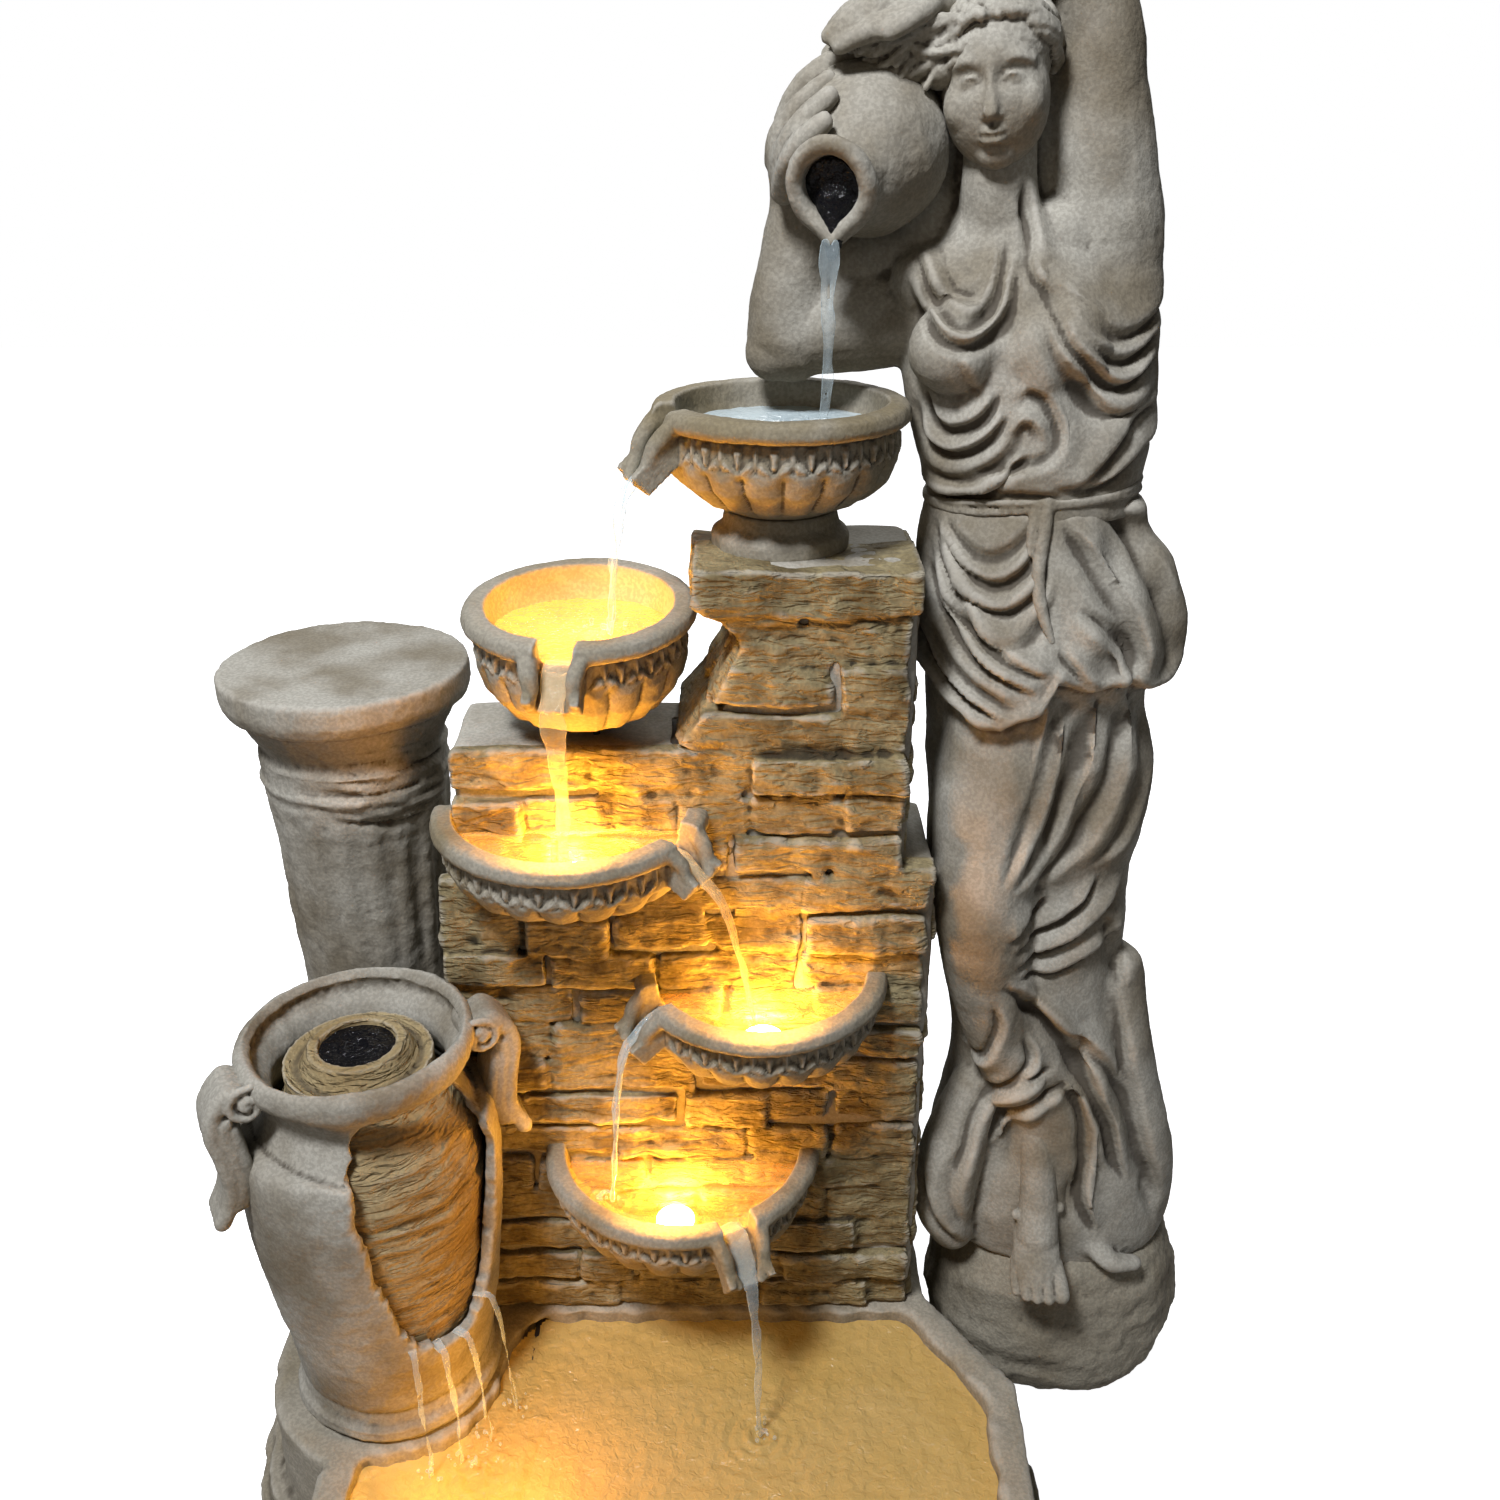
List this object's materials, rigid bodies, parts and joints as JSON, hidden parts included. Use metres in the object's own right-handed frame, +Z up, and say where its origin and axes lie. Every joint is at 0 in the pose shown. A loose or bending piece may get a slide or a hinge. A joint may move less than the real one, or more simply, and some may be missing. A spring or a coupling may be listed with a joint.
{
  "type": "tabletop water fountain",
  "caption": "Self-contained cascade fountain: a draped figure tips a jug into stepped bowls on a brick wall, beside a column and a broken urn, above a pool with a hidden pump.",
  "frame": {"origin": "bottom centre of the whole fountain's box, on the surface that it stands on", "axes": "+Z up, +X to the viewer's right when the bowls face the viewer, +Y towards the back"},
  "size_m": [0.401, 0.308, 0.5789],
  "materials": {
    "cast_stone": "matte",
    "brick_stone": "matte",
    "black_plastic": "matte",
    "grey_plastic": "matte",
    "white_plastic": "gloss",
    "clear_hose": "satin",
    "foam": "matte",
    "ceramic": "satin",
    "steel": "satin",
    "rubber": "matte",
    "lamp_lens": "gloss",
    "water": "gloss"
  },
  "bodies": {
    "root": {"basin": "cast_stone", "brick_wall": "brick_stone", "column": "cast_stone", "urn_shell": "cast_stone", "urn_water_barrel": "brick_stone", "urn_handle_left": "cast_stone", "urn_handle_right": "cast_stone", "bowl_pedestal": "cast_stone", "bowl_1": "cast_stone", "bowl_2": "cast_stone", "bowl_3": "cast_stone", "bowl_4": "cast_stone", "bowl_5": "cast_stone", "rock_base": "cast_stone", "figure_lower": "cast_stone", "figure_upper": "cast_stone", "figure_head": "cast_stone", "arm_raised": "cast_stone", "arm_jug": "cast_stone", "jug": "cast_stone", "jug_nozzle": "black_plastic", "supply_hose": "clear_hose", "tee_fitting": "black_plastic", "jug_hose": "clear_hose", "urn_hose": "clear_hose", "pump_body": "black_plastic", "pump_front_cover": "black_plastic", "pump_sponge": "foam", "impeller_shaft": "ceramic", "suction_cups": "rubber", "cable_gland": "rubber", "rubber_feet": "rubber", "cable_splitter": "black_plastic", "lamp_body_2": "black_plastic", "lamp_body_3": "black_plastic", "lamp_body_4": "black_plastic", "lamp_body_5": "black_plastic", "lamp_body_pool": "black_plastic", "lamp_lens_2": "lamp_lens", "lamp_lens_3": "lamp_lens", "lamp_lens_4": "lamp_lens", "lamp_lens_5": "lamp_lens", "lamp_lens_pool": "lamp_lens", "lamp_leads": "black_plastic"},
    "impeller": {"pump_impeller": "white_plastic"},
    "dial": {"flow_dial": "grey_plastic"},
    "service_cover": {"rear_cover": "brick_stone", "cover_screws": "steel"},
    "plug": {"drain_plug": "rubber"}
  },
  "joints": [
    {"name": "impeller_spin", "type": "hinge", "parent": "root", "child": "impeller", "pos_m": [0.0275, 0.085, 0.03], "axis": [1, 0, 0], "continuous": true},
    {"name": "flow_dial_turn", "type": "hinge", "parent": "root", "child": "dial", "pos_m": [0.0435, 0.068, 0.033], "axis": [0, -1, 0], "range_deg": [0, 90]},
    {"name": "rear_cover_lift_off", "type": "slide", "parent": "root", "child": "service_cover", "axis": [0, 1, 0], "range_m": [0, 0.04]},
    {"name": "drain_plug_pull", "type": "slide", "parent": "root", "child": "plug", "axis": [0, 1, 0], "range_m": [0, 0.02]}
  ]
}
